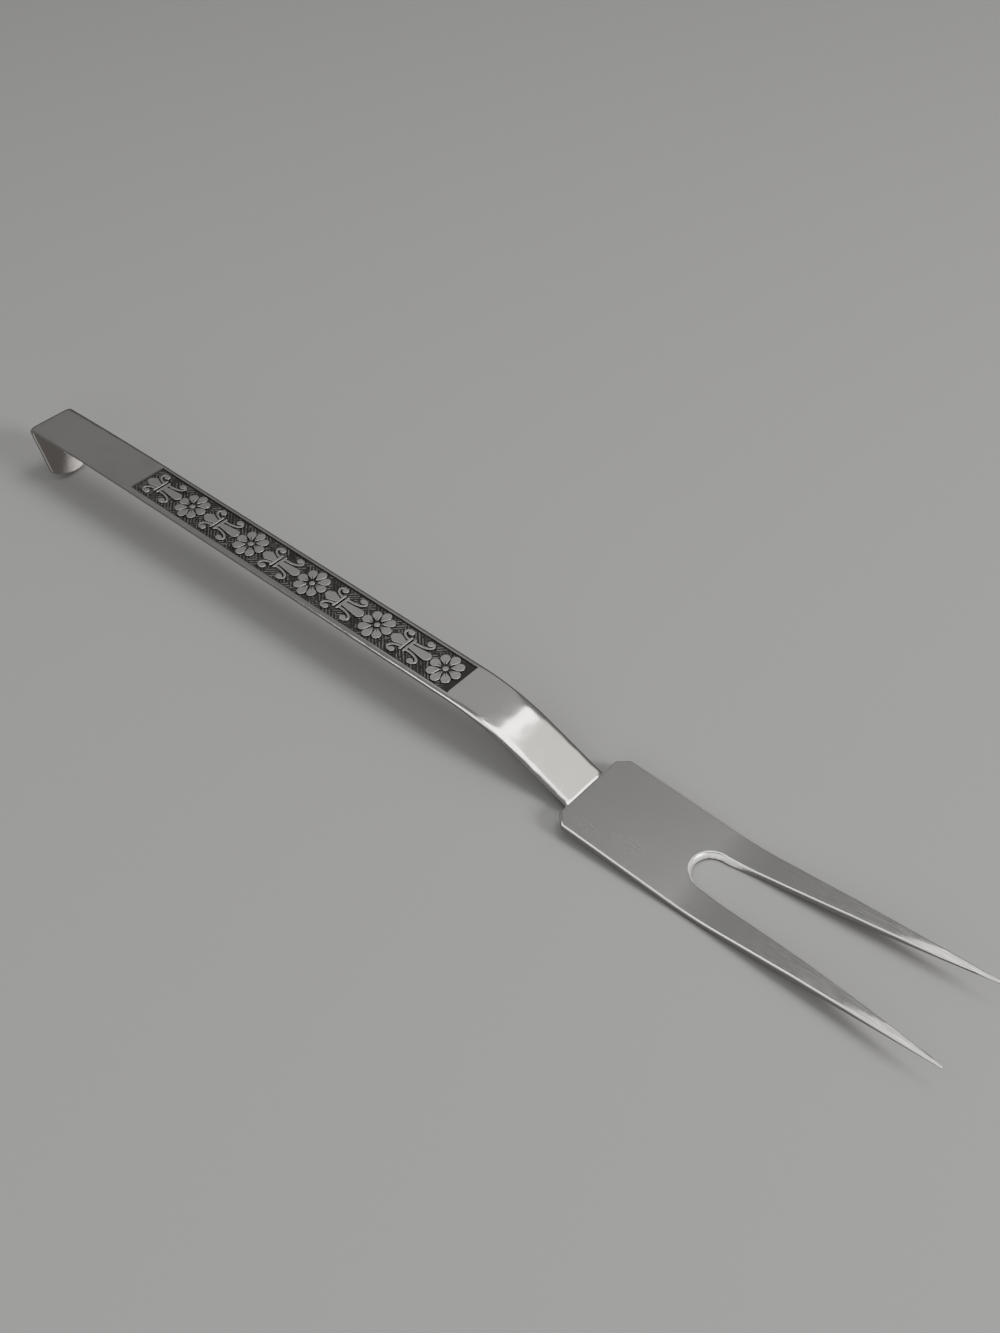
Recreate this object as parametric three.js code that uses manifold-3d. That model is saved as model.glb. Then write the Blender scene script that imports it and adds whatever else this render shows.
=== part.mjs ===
// A two-tined carving fork: a stainless strap handle with an embossed panel and a hanging hook,
// spot-welded under a flat plate head whose tines are ground to points.
// Lengths are in millimetres and angles in degrees. +X runs from the hook to the tines and +Z is up.
// The origin lies on the table under the middle of the fork.

import * as THREE from 'three';
import { mergeVertices } from 'three/addons/utils/BufferGeometryUtils.js';
import Module from 'manifold-3d';

const wasm = await Module();
wasm.setup();

// Strap section: flat in the middle, rolled off along both long edges
const strapWidth = 15;
const strapThickness = 1.6;
const edgeRollWidth = 1.9;
const edgeRollDrop = 0.45;
const undersideBevel = 0.25;

// Strap side view, from the lap under the head back to the hook
const lapLength = 12;
const lapSetback = 0.1;
const lapBendRadius = 4;
const slopeAngle = 22.5;
const slopeLength = 18.3;
const frontBendRadius = 65;
const panelSlopeAngle = 1.3;
const frontPlainLength = 0.5;
const rearPlainLength = 46.2;
const rearDipAngle = 0.9;
const foldInnerRadius = 0.7;
const flapAngle = 63.5;
const tongueBulge = 3;

// Embossed panel: rosettes and lilies stand level with the rims, and the ground is sunk
const panelWidth = 12.2;
const panelDepth = 0.4;
const panelFrontMargin = 6.1;
const panelRearMargin = 6.8;
const ornamentPitch = 25.15;
const ornamentRepeats = 5;
const lilyOffset = 13.75;

// Rosette
const petalCount = 8;
const petalTip = 5.3;
const petalRadius = 1.25;
const petalRoot = 1.5;
const petalRootWidth = 0.5;
const bossRadius = 0.9;

// Lily: a band of two bars, a fan petal to the rear, a club petal to the front and four scrolls
const barWidth = 0.8;
const barLength = 5.5;
const barSpacing = 1.4;
const fanLength = 4.8;
const fanFlare = 2.9;
const fanNeck = 1.9;
const fanRootWidth = 1.5;
const fanWidth = 3.6;
const fanCrown = 2.2;
const clubLength = 7.3;
const clubShoulder = 5.5;
const clubRootWidth = 1.2;
const clubWidth = 3;
const stemWidth = 0.75;
const scrollBallRadius = 1;
const rearStem = [[-1.1, 1.65], [-3.2, 1.75], [-5.2, 3.9], [-2.6, 4.75]];
const rearBall = [-2.2, 4.05];
const frontStem = [[1.3, 1.75], [5.2, 1.6], [7.6, 3.4], [5.3, 4.7]];
const frontBall = [4.65, 4.15];

// Head plate
const headWidth = 28.5;
const headLength = 108;
const plateThickness = 1.9;
const plateEdgeBevel = 0.2;
const cornerClip = 3;
const headTiltAngle = 4.1;
const plateFlatLength = 35;
const tineBendRadius = 90;
const tineRiseAngle = 5.2;
const slotRoot = 32.4;
const slotRadius = 6.2;
const tineMidWidth = 4.75;
const tipRadius = 0.35;
const grindLength = 38;
const tipThickness = 0.9;

// Spot welds in the lap
const lapGap = 0.2;
const weldClearance = 0.04;
const weldRadius = 2.2;
const weldSpacing = 7;

// How finely the curves are cut into flats
const motifSegments = 4;
const outlineSegments = 6;
const foldFacets = 10;
const bendFacets = 7;
const rearFacets = 3;
const lapBendFacets = 4;
const stemSteps = 6;
const weldSides = 16;

// A cutter reaches past what it cuts by this much, and points closer than the tolerance are one point
const overcut = 1;
const tolerance = 1e-5;

const AXIS_X = new THREE.Vector3(1, 0, 0);
const AXIS_Y = new THREE.Vector3(0, 1, 0);
const AXIS_Z = new THREE.Vector3(0, 0, 1);
const radians = THREE.MathUtils.degToRad;

// Solids

function toSolid(geometry) {
  const bare = geometry.clone();
  bare.deleteAttribute('normal');
  bare.deleteAttribute('uv');
  const merged = mergeVertices(bare, tolerance);
  const vertProperties = new Float32Array(merged.attributes.position.array);
  const triVerts = new Uint32Array(merged.index.array);
  return new wasm.Manifold(new wasm.Mesh({ numProp: 3, vertProperties, triVerts }));
}

function prism(shape, low, high, curveSegments) {
  const settings = { depth: high - low, bevelEnabled: false, curveSegments };
  return new THREE.ExtrudeGeometry(shape, settings).translate(0, 0, low);
}

function trianglesOf(solid) {
  const mesh = solid.getMesh();
  const corner = (index) => new THREE.Vector3().fromArray(mesh.vertProperties, index * mesh.numProp);
  const triangles = [];
  for (let i = 0; i < mesh.triVerts.length; i += 3) {
    triangles.push([corner(mesh.triVerts[i]), corner(mesh.triVerts[i + 1]), corner(mesh.triVerts[i + 2])]);
  }
  return triangles;
}

// Side view: a sheet follows straight runs and arcs. Angles are the sheet's slope, rising towards +X.

function straight(length, angle) {
  return { length, from: radians(angle), to: radians(angle), facets: 1 };
}

function arc(radius, from, to, facets) {
  return { length: radius * Math.abs(radians(to - from)), from: radians(from), to: radians(to), facets };
}

function alongPiece(piece, distance) {
  const turn = piece.to - piece.from;
  if (turn === 0) {
    return new THREE.Vector2(Math.cos(piece.from), Math.sin(piece.from)).multiplyScalar(distance);
  }
  const angle = piece.from + (turn * distance) / piece.length;
  const radius = piece.length / turn;
  return new THREE.Vector2(
    radius * (Math.sin(angle) - Math.sin(piece.from)),
    radius * (Math.cos(piece.from) - Math.cos(angle)),
  );
}

// A path runs forwards (+1) or backwards (-1) from its start, so flat x is its length times that sense.
function makePath(start, sense, pieces) {
  const end = start.clone();
  let travelled = 0;
  const legs = pieces.map((piece) => {
    const leg = { piece, start: end.clone(), from: travelled };
    end.addScaledVector(alongPiece(piece, piece.length), sense);
    travelled += piece.length;
    return leg;
  });
  return { legs, sense, end, length: travelled };
}

function onPath(path, flatX) {
  const distance = flatX * path.sense;
  const leg = path.legs.findLast((candidate) => distance >= candidate.from) ?? path.legs[0];
  const { piece } = leg;
  const local = distance - leg.from;
  const angle = piece.from + ((piece.to - piece.from) * local) / piece.length;
  const point = leg.start.clone().addScaledVector(alongPiece(piece, local), path.sense);
  return { point, normal: new THREE.Vector2(-Math.sin(angle), Math.cos(angle)) };
}

function bendLines(path) {
  const lines = [];
  for (const { piece, from } of path.legs) {
    for (let step = 0; step < piece.facets; step += 1) {
      lines.push(path.sense * (from + (piece.length * step) / piece.facets));
    }
  }
  return lines;
}

// Splits the facets that cross the plane x = line, so that the sheet can turn there.
function splitAt(facets, line) {
  const side = (corner) => (Math.abs(corner.x - line) < tolerance ? 0 : Math.sign(corner.x - line));
  const crossing = (a, b) => {
    const [low, high] = a.x < b.x ? [a, b] : [b, a];
    const point = low.clone().lerp(high, (line - low.x) / (high.x - low.x));
    return point.setX(line);
  };
  return facets.flatMap((facet) => {
    const sides = facet.map(side);
    if (!sides.includes(1) || !sides.includes(-1)) return [facet];
    const behind = [];
    const ahead = [];
    facet.forEach((corner, i) => {
      const next = (i + 1) % facet.length;
      if (sides[i] <= 0) behind.push(corner);
      if (sides[i] >= 0) ahead.push(corner);
      if (sides[i] * sides[next] < 0) {
        const point = crossing(corner, facet[next]);
        behind.push(point);
        ahead.push(point);
      }
    });
    return [behind, ahead];
  });
}

function fan(facet) {
  return facet.slice(2).map((corner, i) => [facet[0], facet[i + 1], corner]);
}

// Bends a flat solid along a path whose line lies at the height datum in the flat sheet.
function bend(solid, path, datum) {
  const triangles = bendLines(path).reduce(splitAt, trianglesOf(solid)).flatMap(fan);
  const positions = triangles.flat().flatMap((corner) => {
    const { point, normal } = onPath(path, corner.x);
    const lift = corner.z - datum;
    return [point.x + normal.x * lift, corner.y, point.y + normal.y * lift];
  });
  const geometry = new THREE.BufferGeometry();
  geometry.setAttribute('position', new THREE.Float32BufferAttribute(positions, 3));
  geometry.computeVertexNormals();
  return geometry;
}

// Head plate

const headHalf = headWidth / 2;
const tipCentre = headLength - tipRadius;
const slotCentre = slotRoot + slotRadius;

function headOutline() {
  const tipInner = headHalf - 2 * tipRadius;
  const pullAlong = (slotCentre + tipCentre) / 2;
  const pullAcross = (4 * (headHalf - tineMidWidth) - slotRadius - tipInner) / 2;
  const quarter = Math.PI / 2;
  const shape = new THREE.Shape();
  shape.moveTo(0, cornerClip - headHalf);
  shape.lineTo(cornerClip, -headHalf);
  shape.absarc(tipCentre, tipRadius - headHalf, tipRadius, -quarter, quarter, false);
  shape.quadraticCurveTo(pullAlong, -pullAcross, slotCentre, -slotRadius);
  shape.absarc(slotCentre, 0, slotRadius, -quarter, quarter, true);
  shape.quadraticCurveTo(pullAlong, pullAcross, tipCentre, tipInner);
  shape.absarc(tipCentre, headHalf - tipRadius, tipRadius, -quarter, quarter, false);
  shape.lineTo(cornerClip, headHalf);
  shape.lineTo(0, headHalf - cornerClip);
  return shape;
}

// The wedge that the grinding wheel takes off the top of the tines towards their points.
function tineGrind() {
  const fall = (plateThickness - tipThickness) / grindLength;
  const reach = headLength + overcut;
  const shape = new THREE.Shape();
  shape.moveTo(headLength - grindLength, plateThickness);
  shape.lineTo(reach, plateThickness - fall * (grindLength + overcut));
  shape.lineTo(reach, plateThickness + overcut);
  shape.lineTo(headLength - grindLength, plateThickness + overcut);
  const across = new THREE.Matrix4().makeBasis(AXIS_X, AXIS_Z, AXIS_Y.clone().negate());
  return prism(shape, -headWidth, headWidth, outlineSegments).applyMatrix4(across);
}

// The plate's rear stands above the table by the drop of its flat and the first half of the tine bend.
const flatDrop = plateFlatLength * Math.sin(radians(headTiltAngle));
const bendDrop = tineBendRadius * (1 - Math.cos(radians(headTiltAngle)));

const headPath = makePath(
  new THREE.Vector2(0, flatDrop + bendDrop),
  1,
  [
    straight(plateFlatLength, -headTiltAngle),
    arc(tineBendRadius, -headTiltAngle, tineRiseAngle, bendFacets),
    straight(headLength, tineRiseAngle),
  ],
);

function forkHead() {
  const blank = new THREE.ExtrudeGeometry(headOutline(), {
    depth: plateThickness - 2 * plateEdgeBevel,
    bevelThickness: plateEdgeBevel,
    bevelSize: plateEdgeBevel,
    bevelOffset: -plateEdgeBevel,
    bevelSegments: 1,
    curveSegments: outlineSegments,
  }).translate(0, 0, plateEdgeBevel);
  return bend(toSolid(blank).subtract(toSolid(tineGrind())), headPath, 0);
}

// Strap: the flat blank lies along -X from its lap end at x = 0 to the tongue of its hook

const strapHalf = strapWidth / 2;
const strapMiddle = strapThickness / 2;
const flapSlope = 180 - flapAngle;
const panelLength = panelFrontMargin + panelRearMargin + (ornamentRepeats - 1) * ornamentPitch + lilyOffset;

const lapStart = onPath(headPath, lapLength);
const lapEnd = lapStart.point.clone().addScaledVector(lapStart.normal, -(lapGap + strapMiddle));
const lapUnderside = lapEnd.clone().addScaledVector(lapStart.normal, -strapMiddle);
const tableHeight = Math.min(0, lapUnderside.y);

const frontPieces = [
  straight(lapLength + lapSetback, -headTiltAngle),
  arc(lapBendRadius, -headTiltAngle, -slopeAngle, lapBendFacets),
  straight(slopeLength, -slopeAngle),
  arc(frontBendRadius, -slopeAngle, -panelSlopeAngle, bendFacets),
];
const rearRadius = rearPlainLength / radians(panelSlopeAngle + rearDipAngle);
const rearPieces = [
  straight(frontPlainLength + panelLength, -panelSlopeAngle),
  arc(rearRadius, -panelSlopeAngle, rearDipAngle, rearFacets),
  arc(foldInnerRadius + strapMiddle, rearDipAngle, flapSlope, foldFacets),
];
const toFlap = makePath(lapEnd, -1, [...frontPieces, ...rearPieces]);

// The hook's tongue is as long as it takes to reach the table.
const flapDrop = toFlap.end.y - tableHeight - strapMiddle * Math.abs(Math.cos(radians(flapSlope)));
const flapLength = flapDrop / Math.sin(radians(flapSlope));
const strapPath = makePath(lapEnd, -1, [
  ...frontPieces, ...rearPieces, straight(flapLength, flapSlope),
]);
const panelFront = -(makePath(lapEnd, -1, frontPieces).length + frontPlainLength);

function strapSection() {
  const rollTop = strapThickness - edgeRollDrop;
  const flatHalf = strapHalf - edgeRollWidth;
  const shape = new THREE.Shape();
  shape.moveTo(undersideBevel - strapHalf, 0);
  shape.lineTo(strapHalf - undersideBevel, 0);
  shape.lineTo(strapHalf, undersideBevel);
  shape.absellipse(flatHalf, rollTop, edgeRollWidth, edgeRollDrop, 0, Math.PI / 2);
  shape.absellipse(-flatHalf, rollTop, edgeRollWidth, edgeRollDrop, Math.PI / 2, Math.PI);
  shape.lineTo(-strapHalf, undersideBevel);
  return shape;
}

function strapOutline() {
  const roundRadius = (strapHalf ** 2 + tongueBulge ** 2) / (2 * tongueBulge);
  const halfTurn = Math.asin(strapHalf / roundRadius);
  const shape = new THREE.Shape();
  shape.moveTo(0, -strapHalf - overcut);
  shape.lineTo(0, strapHalf + overcut);
  shape.lineTo(tongueBulge - strapPath.length, strapHalf + overcut);
  shape.absarc(roundRadius - strapPath.length, 0, roundRadius, Math.PI - halfTurn, Math.PI + halfTurn);
  shape.lineTo(tongueBulge - strapPath.length, -strapHalf - overcut);
  return shape;
}

function strapBlank() {
  const along = new THREE.Matrix4().makeBasis(AXIS_Y, AXIS_Z, AXIS_X);
  const bar = prism(strapSection(), -strapPath.length - overcut, 0, outlineSegments).applyMatrix4(along);
  const outline = prism(strapOutline(), -overcut, strapThickness + overcut, outlineSegments);
  return toSolid(bar).intersect(toSolid(outline));
}

// Ornament: each motif is drawn with +X towards the tines, and stands as a column through the panel

function column(shape) {
  return prism(shape, strapThickness - panelDepth - overcut, strapThickness + 2 * overcut, motifSegments);
}

function disc(radius) {
  return new THREE.Shape().absarc(0, 0, radius, 0, 2 * Math.PI);
}

function petal() {
  const centre = petalTip - petalRadius;
  const lean = Math.acos((petalRadius - petalRootWidth / 2) / (centre - petalRoot));
  const shape = new THREE.Shape();
  shape.moveTo(petalRoot, petalRootWidth / 2);
  shape.lineTo(petalRoot, -petalRootWidth / 2);
  shape.absarc(centre, 0, petalRadius, lean - Math.PI, Math.PI - lean, false);
  return shape;
}

function rosette() {
  const petals = Array.from({ length: petalCount }, (_, i) =>
    column(petal()).rotateZ((2 * Math.PI * i) / petalCount));
  return [...petals, column(disc(bossRadius))];
}

function fanPetal(root) {
  const tip = root + fanLength;
  const shape = new THREE.Shape();
  shape.moveTo(root, fanRootWidth / 2);
  shape.quadraticCurveTo(root + fanNeck, fanRootWidth / 2, root + fanFlare, fanWidth / 2);
  shape.quadraticCurveTo(tip, fanCrown / 2, tip, 0);
  shape.quadraticCurveTo(tip, -fanCrown / 2, root + fanFlare, -fanWidth / 2);
  shape.quadraticCurveTo(root + fanNeck, -fanRootWidth / 2, root, -fanRootWidth / 2);
  return shape;
}

function clubPetal(root) {
  const tip = root + clubLength;
  const shape = new THREE.Shape();
  shape.moveTo(root, -clubRootWidth / 2);
  shape.lineTo(root + clubShoulder, -clubWidth / 2);
  shape.quadraticCurveTo(tip, -clubWidth / 2, tip, 0);
  shape.quadraticCurveTo(tip, clubWidth / 2, root + clubShoulder, clubWidth / 2);
  shape.lineTo(root, clubRootWidth / 2);
  return shape;
}

function ribbon(curve) {
  const edge = (sign) => Array.from({ length: stemSteps + 1 }, (_, i) => {
    const tangent = curve.getTangent(i / stemSteps);
    const across = new THREE.Vector2(-tangent.y, tangent.x);
    return curve.getPoint(i / stemSteps).addScaledVector(across, (sign * stemWidth) / 2);
  });
  return new THREE.Shape([...edge(-1), ...edge(1).reverse()]);
}

// A scroll's stem leaves the band, swings out and ends in a ball on its inner side.
function scroll(stem, ball) {
  const curve = new THREE.CubicBezierCurve(...stem.map(([x, y]) => new THREE.Vector2(x, y)));
  return [column(ribbon(curve)), column(disc(scrollBallRadius)).translate(...ball, 0)];
}

function mirrored(geometry) {
  const flipped = geometry.clone().scale(1, -1, 1);
  const position = flipped.attributes.position;
  const reversed = Array.from({ length: position.count }, (_, i) => position.count - 1 - i);
  return flipped.setIndex(reversed);
}

function lily() {
  const bandEnd = (barSpacing + barWidth) / 2;
  const bars = [-barSpacing / 2, barSpacing / 2].map((x) =>
    new THREE.BoxGeometry(barWidth, barLength, panelDepth + 3 * overcut)
      .translate(x, 0, strapThickness + (overcut - panelDepth) / 2));
  const scrolls = [...scroll(rearStem, rearBall), ...scroll(frontStem, frontBall)];
  const fan = column(fanPetal(bandEnd - tolerance)).rotateZ(Math.PI);
  const club = column(clubPetal(bandEnd - tolerance));
  return [...bars, fan, club, ...scrolls, ...scrolls.map(mirrored)];
}

function ornament() {
  const motifs = [];
  for (let i = 0; i < ornamentRepeats; i += 1) {
    const centre = panelFront - panelFrontMargin - i * ornamentPitch;
    motifs.push(...rosette().map((piece) => piece.translate(centre, 0, 0)));
    motifs.push(...lily().map((piece) => piece.translate(centre - lilyOffset, 0, 0)));
  }
  return wasm.Manifold.union(motifs.map(toSolid));
}

function panelCut() {
  const box = new THREE.BoxGeometry(panelLength, panelWidth, panelDepth + overcut).translate(
    panelFront - panelLength / 2,
    0,
    strapThickness + (overcut - panelDepth) / 2,
  );
  return toSolid(box).subtract(ornament());
}

function handleStrap() {
  return bend(strapBlank().subtract(panelCut()), strapPath, strapMiddle);
}

// A weld spot fills the lap between the strap's top and the plate's underside.
function spotWeld(y) {
  const height = lapGap - 2 * weldClearance;
  const spot = new THREE.CylinderGeometry(weldRadius, weldRadius, height, weldSides)
    .rotateX(Math.PI / 2)
    .translate(-lapLength / 2, y, strapThickness + lapGap / 2);
  return bend(toSolid(spot), strapPath, strapMiddle);
}

// Fork

const polishedSteel = { color: 0xb9b6b0, roughness: 0.22, metalness: 1 };
const brushedSteel = { color: 0xa9a8a5, roughness: 0.38, metalness: 1 };
const weldSteel = { color: 0x8a8783, roughness: 0.6, metalness: 1 };

function piece(name, geometry, finish) {
  const mesh = new THREE.Mesh(geometry, new THREE.MeshStandardMaterial(finish));
  mesh.name = name;
  return mesh;
}

const fork = new THREE.Group();
fork.add(
  piece('handle_strap', handleStrap(), polishedSteel),
  piece('fork_head', forkHead(), brushedSteel),
  piece('spot_weld_left', spotWeld(weldSpacing / 2), weldSteel),
  piece('spot_weld_right', spotWeld(-weldSpacing / 2), weldSteel),
);

const extent = new THREE.Box3().setFromObject(fork);
fork.position.set(-(extent.min.x + extent.max.x) / 2, 0, -extent.min.z);

export default fork;
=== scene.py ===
# %% [markdown]
# # A carving fork in sheet steel
# The fork is two pieces of stainless sheet: a strap that is bent into the handle and its hook, and a
# plate with two tines that is welded on top of the strap's front end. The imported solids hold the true
# place of both, so they are loaded first, and every finished surface is built around them in metres.

# %% Load the frame
import math

import bmesh
import bpy
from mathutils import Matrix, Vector


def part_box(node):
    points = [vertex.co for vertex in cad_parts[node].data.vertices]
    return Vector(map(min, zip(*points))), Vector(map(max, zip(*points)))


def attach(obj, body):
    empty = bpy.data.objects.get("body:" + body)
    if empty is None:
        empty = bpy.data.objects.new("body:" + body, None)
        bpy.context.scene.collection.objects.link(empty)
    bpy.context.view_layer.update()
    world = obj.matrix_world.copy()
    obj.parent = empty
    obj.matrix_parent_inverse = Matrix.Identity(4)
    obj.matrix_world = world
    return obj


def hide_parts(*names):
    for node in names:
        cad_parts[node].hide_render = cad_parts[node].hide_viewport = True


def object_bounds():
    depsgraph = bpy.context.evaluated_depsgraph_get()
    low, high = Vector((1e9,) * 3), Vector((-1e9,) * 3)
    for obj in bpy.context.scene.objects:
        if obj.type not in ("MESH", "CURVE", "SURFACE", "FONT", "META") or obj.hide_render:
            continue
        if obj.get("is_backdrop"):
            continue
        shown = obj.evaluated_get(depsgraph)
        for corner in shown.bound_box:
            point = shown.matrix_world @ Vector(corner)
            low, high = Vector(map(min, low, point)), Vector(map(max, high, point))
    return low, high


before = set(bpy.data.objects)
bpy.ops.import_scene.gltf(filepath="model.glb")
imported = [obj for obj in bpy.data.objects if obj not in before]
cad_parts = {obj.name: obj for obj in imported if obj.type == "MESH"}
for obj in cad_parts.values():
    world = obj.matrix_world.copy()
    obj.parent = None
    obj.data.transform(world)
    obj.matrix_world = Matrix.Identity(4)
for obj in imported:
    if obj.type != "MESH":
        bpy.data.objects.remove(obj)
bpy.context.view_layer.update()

MM = 0.001


def in_mm(values):
    """Lengths in metres as rounded millimetres, for the printed notes."""
    return [round(value / MM, 2) for value in values]


# %% [markdown]
# ## The viewpoint
# The picture to match looks down on the fork at 44 degrees, from beside the tines. A camera can be aimed
# by eye, but here its place was worked out from the edges that run side by side on the strap and the
# plate, so it is set from numbers. The lens follows from how fast those edges draw together.

# %% Camera
head_low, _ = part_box("fork_head")
EYE = Vector((head_low.x + 146.3 * MM, -202.5 * MM, 288.8 * MM))
LOOK = Vector((-0.4693, 0.5412, -0.6977))
LENS = 40.24
NEAREST_SEEN = 10 * MM

bpy.ops.object.select_all(action="DESELECT")
bpy.ops.object.camera_add(location=EYE, rotation=LOOK.to_track_quat("-Z", "Y").to_euler())
camera = bpy.context.object
camera.name = "viewpoint"
camera.data.lens = LENS
camera.data.clip_start = NEAREST_SEEN
bpy.context.scene.camera = camera
print("camera at", in_mm(camera.location), "mm, lens", LENS)

# %% [markdown]
# ## The table and the light
# Bare metal has hardly any colour of its own: it shows what stands around it. One big lamp would light the
# fork, but all its faces would then look alike. So the room is dim, and darkest near the horizon, and each
# lamp stands where one face of the fork mirrors it towards the camera.

# %% Floor
FLOOR_SIZE = 5
FLOOR_DROP = 0.05 * MM
FLOOR_GREY = (0.28, 0.28, 0.28, 1)
FLOOR_ROUGHNESS = 0.9

bpy.ops.mesh.primitive_plane_add(size=FLOOR_SIZE, location=(0, 0, -FLOOR_DROP))
floor = bpy.context.object
floor.name = "floor"
floor_paint = bpy.data.materials.new("pale_floor")
floor_paint.use_nodes = True
floor_shader = floor_paint.node_tree.nodes["Principled BSDF"]
floor_shader.inputs["Base Color"].default_value = FLOOR_GREY
floor_shader.inputs["Roughness"].default_value = FLOOR_ROUGHNESS
floor.data.materials.append(floor_paint)
floor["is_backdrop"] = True

print("floor", FLOOR_SIZE, "m wide")

# %% Room
LOW_GREY = 0.07
HIGH_GREY = 0.24
LOW_END = 0.25
HIGH_START = 0.5

room = bpy.data.worlds.new("room")
room.use_nodes = True
nodes, links = room.node_tree.nodes, room.node_tree.links
height = nodes.new("ShaderNodeSeparateXYZ")
greys = nodes.new("ShaderNodeMapRange")
greys.interpolation_type = "SMOOTHSTEP"
ends = {"From Min": LOW_END, "From Max": HIGH_START, "To Min": LOW_GREY, "To Max": HIGH_GREY}
for name, value in ends.items():
    greys.inputs[name].default_value = value
links.new(nodes.new("ShaderNodeTexCoord").outputs["Generated"], height.inputs[0])
links.new(height.outputs["Z"], greys.inputs["Value"])
links.new(greys.outputs["Result"], nodes["Background"].inputs["Color"])
bpy.context.scene.world = room
print("room from grey", LOW_GREY, "low down to", HIGH_GREY, "above")

# %% [markdown]
# The slope lamp fills the strap's polished slope with a warm white, and the edge and bend lamps put the
# white band on the bend behind it. The panel lamp is broad and dim, for the level handle. The near and rim
# lamps draw bright lines along the near edges, and the side lamp fills the slot's leaning wall. The key
# lamp is the strongest: it throws the shadows, and reaches under the strap to the tongue of the hook.

# %% Lamps
SLOPE_SPOT = Vector((30 * MM, 0, 8 * MM))
LAMP_DISTANCE = 1.4
WARM = (1, 0.955, 0.885)
WHITE = (1, 0.99, 0.97)


def soft_lamp(name, towards, width, length, brightness, colour=WHITE):
    """Adds a lamp that stands towards a direction from the fork, with its length running up and down."""
    place = SLOPE_SPOT + Vector(towards).normalized() * LAMP_DISTANCE
    turn = (SLOPE_SPOT - place).to_track_quat("-Z", "Y").to_euler()
    bpy.ops.object.light_add(type="AREA", location=place, rotation=turn)
    lamp = bpy.context.object
    lamp.name = name
    lamp.data.shape = "RECTANGLE"
    lamp.data.size = width
    lamp.data.size_y = length
    lamp.data.energy = brightness * math.pi * width * length
    lamp.data.color = colour
    return lamp


soft_lamp("slope_lamp", (0.38, 0.71, 0.59), width=0.55, length=1.4, brightness=1.3, colour=WARM)
soft_lamp("edge_lamp", (0.12, 0.30, 0.945), width=0.5, length=0.5, brightness=6)
soft_lamp("bend_lamp", (0.075, 0.54, 0.84), width=0.15, length=0.15, brightness=7)
soft_lamp("panel_lamp", (-0.36, 0.55, 0.75), width=0.85, length=0.85, brightness=0.22)
soft_lamp("near_lamp", (-0.25, -0.40, 0.88), width=0.35, length=1.9, brightness=2.6)
soft_lamp("rim_lamp", (-0.46, -0.50, 0.73), width=0.3, length=0.5, brightness=3.2)
soft_lamp("side_lamp", (0.42, -0.78, 0.37), width=1.6, length=0.55, brightness=2.8)
soft_lamp("key_lamp", (0.85, 0.185, 0.49), width=0.4, length=0.4, brightness=36)

# %% [markdown]
# ## Working by selection
# Most steps below pick some corners, edges or faces of a piece by their place and then run one operator
# on them, just as one would click them by hand. These short helpers do the picking and the straight cuts.

# %% Helpers for picking
TOUCH = 0.002 * MM


def near(value, target):
    return abs(value - target) < TOUCH


def deselect_all():
    bpy.ops.object.select_all(action="DESELECT")


def choose(piece):
    """Leaves one piece selected and active."""
    deselect_all()
    bpy.context.view_layer.objects.active = piece
    piece.select_set(True)


def settle():
    """Puts the place, turn and size of the selected piece into its mesh."""
    bpy.ops.object.transform_apply(location=True, rotation=True, scale=True)


def pick(piece, kind, test):
    """Selects the VERT, EDGE or FACE parts of a piece that pass a test, and stays in edit mode."""
    bpy.context.view_layer.objects.active = piece
    bpy.ops.object.mode_set(mode="EDIT")
    bpy.ops.mesh.select_mode(type=kind)
    bpy.ops.mesh.select_all(action="DESELECT")
    shape = bmesh.from_edit_mesh(piece.data)
    parts = {"VERT": shape.verts, "EDGE": shape.edges, "FACE": shape.faces}[kind]
    chosen = [part for part in parts if test(part)]
    for part in chosen:
        part.select_set(True)
    shape.select_flush_mode()
    bmesh.update_edit_mesh(piece.data)
    return len(chosen)


def pick_all(piece):
    return pick(piece, "FACE", lambda face: True)


def done(piece):
    """Leaves edit mode and hands the piece back."""
    bpy.ops.object.mode_set(mode="OBJECT")
    return piece


print("helpers ready: choose, settle, pick and done")


# %% Helpers for straight cuts and blocks
def cut(piece, axis, place):
    """Cuts a line of edges right round a piece, square to an axis: 0 is X, 1 is Y and 2 is Z."""
    pick_all(piece)
    spot, normal = Vector(), Vector()
    spot[axis] = place
    normal[axis] = 1
    bpy.ops.mesh.bisect(plane_co=spot, plane_no=normal)
    done(piece)


def block(name, low, high):
    """Adds a cube at its size and place, from its lowest to its highest corner."""
    deselect_all()
    low, high = Vector(low), Vector(high)
    bpy.ops.mesh.primitive_cube_add(size=1, location=(low + high) / 2, scale=high - low)
    settle()
    piece = bpy.context.object
    piece.name = name
    return piece


print("helpers ready: cut and block")

# %% [markdown]
# Some forms are joined or cut by a Boolean modifier, which works out where two closed shapes meet. The
# tool shape is thrown away afterwards, so a piece always stays one closed mesh.

# %% Helpers for joining and cutting with a tool
def modify(piece, kind, **settings):
    """Adds a modifier of some kind to a piece, sets its options and applies it at once."""
    choose(piece)
    modifier = piece.modifiers.new(kind, kind)
    for name, value in settings.items():
        setattr(modifier, name, value)
    bpy.ops.object.modifier_apply(modifier=modifier.name)


def combine(piece, tool, operation):
    """Runs a UNION or DIFFERENCE of a piece with a tool mesh, and removes the tool."""
    modify(piece, "BOOLEAN", operation=operation, solver="MANIFOLD", object=tool)
    bpy.data.objects.remove(tool)
    return piece


def copy_of(piece):
    """A second piece with its own mesh, left selected and active."""
    choose(piece)
    bpy.ops.object.duplicate(linked=False)
    return bpy.context.object


print("helpers ready: modify, combine and copy_of")

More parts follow.
